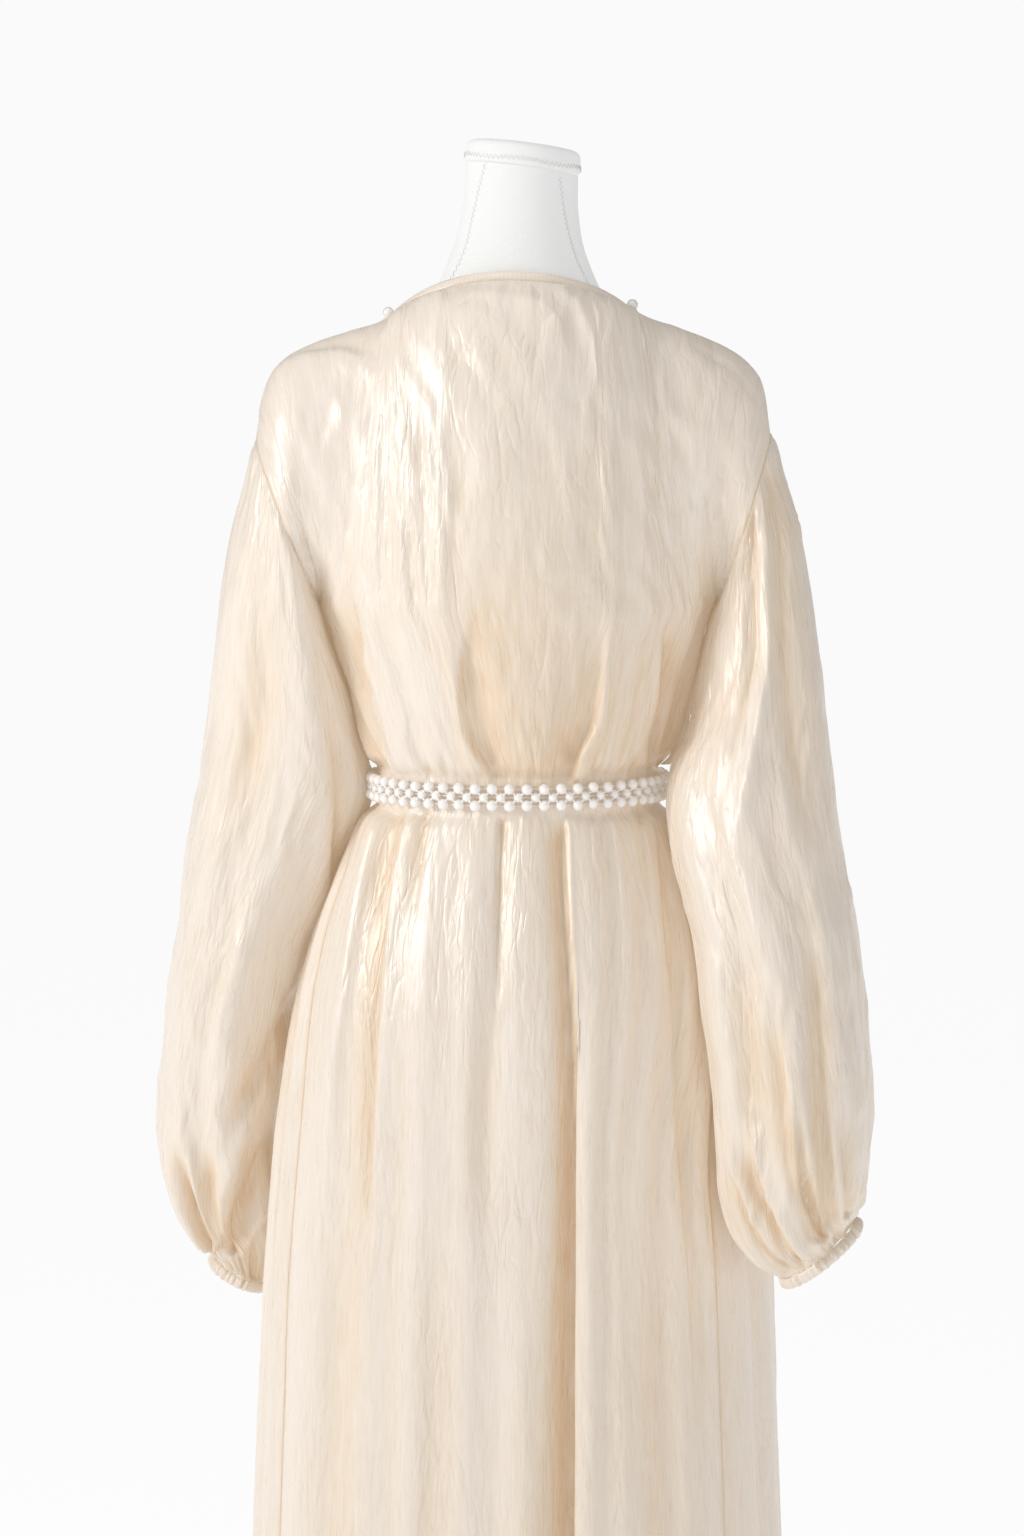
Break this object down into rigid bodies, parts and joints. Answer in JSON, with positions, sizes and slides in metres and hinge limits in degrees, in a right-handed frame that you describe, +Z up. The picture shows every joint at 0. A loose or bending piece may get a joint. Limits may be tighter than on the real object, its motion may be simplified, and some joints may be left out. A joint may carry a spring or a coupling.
{
  "type": "abaya on a dress form",
  "caption": "Long wrap-front abaya with balloon sleeves, gathered cuffs and a pearl belt, hollow, resting on a limbless dress form with a round stand.",
  "frame": {"origin": "middle of the stand base's underside, on the floor", "axes": "+Z up, -Y the garment's front, +Y its back, +X the wearer's left"},
  "size_m": [0.5876, 0.358, 1.5627],
  "materials": {
    "satin": "champagne slub satin, soft sheen",
    "pearl": "ivory imitation pearl",
    "clasp": "polished plated metal",
    "jersey": "white jersey cover",
    "steel": "brushed steel"
  },
  "bodies": {
    "root": {"back_panel": "satin", "front_panel_left": "satin", "front_panel_right": "satin", "sleeve_left": "satin", "sleeve_right": "satin", "cuff_left": "satin", "cuff_right": "satin", "neck_binding": "satin", "front_trim_left": "pearl", "front_trim_right": "pearl", "pearl_belt": "pearl", "belt_clasp": "clasp", "form_torso": "jersey", "form_neck_cap": "jersey", "stand_pole": "steel", "stand_base": "steel"}
  },
  "joints": []
}
